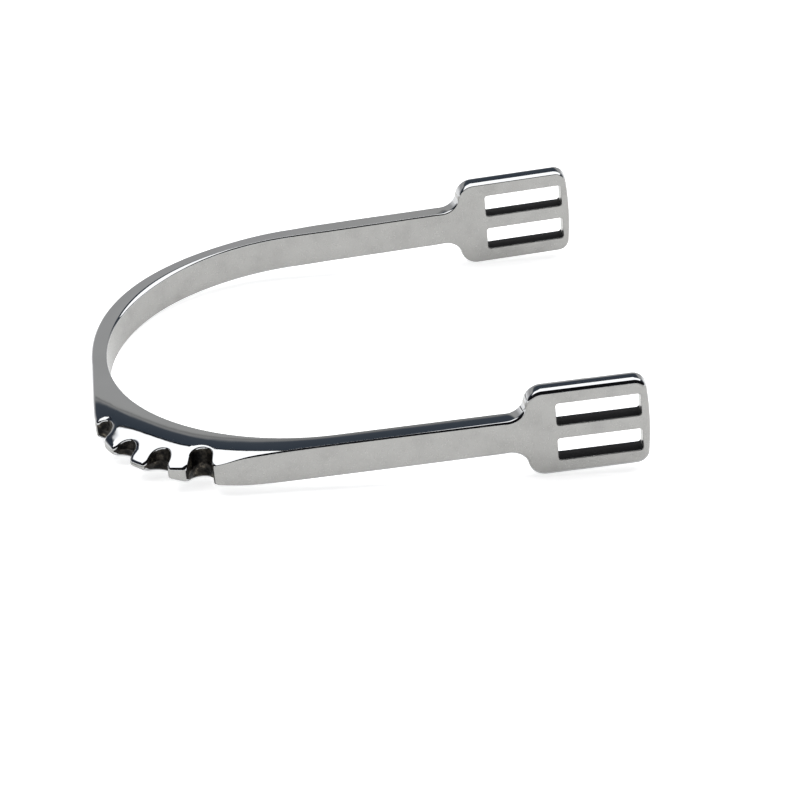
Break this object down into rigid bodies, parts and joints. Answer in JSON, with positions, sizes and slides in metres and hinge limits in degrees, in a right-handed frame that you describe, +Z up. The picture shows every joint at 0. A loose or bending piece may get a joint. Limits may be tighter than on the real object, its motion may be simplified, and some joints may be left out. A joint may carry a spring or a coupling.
{
  "type": "riding spur",
  "caption": "U-shaped steel riding spur with a toothed ridge on one corner of the heel and a slotted strap plate at the end of each branch.",
  "frame": {"origin": "centre of the bounding box in X and Y, on the surface that the spur stands on", "axes": "+X from the heel to the open toe end, +Y to the wearer's left when the toothed ridge is on the right, +Z up as it stands on a table on the heel and the lower shoulders of the two plates"},
  "size_m": [0.1038, 0.0898, 0.0203],
  "materials": {
    "heel_steel": "stainless steel, mirror polished outside, dark as-cast skin inside the notches",
    "branch_steel": "stainless steel, satin faces with polished round edges",
    "plate_steel": "stainless steel, satin faces with polished round edges and dark slot walls"
  },
  "bodies": {
    "root": {"heel_band": "heel_steel", "left_branch": "branch_steel", "right_branch": "branch_steel", "left_strap_plate": "plate_steel", "right_strap_plate": "plate_steel"}
  },
  "joints": []
}
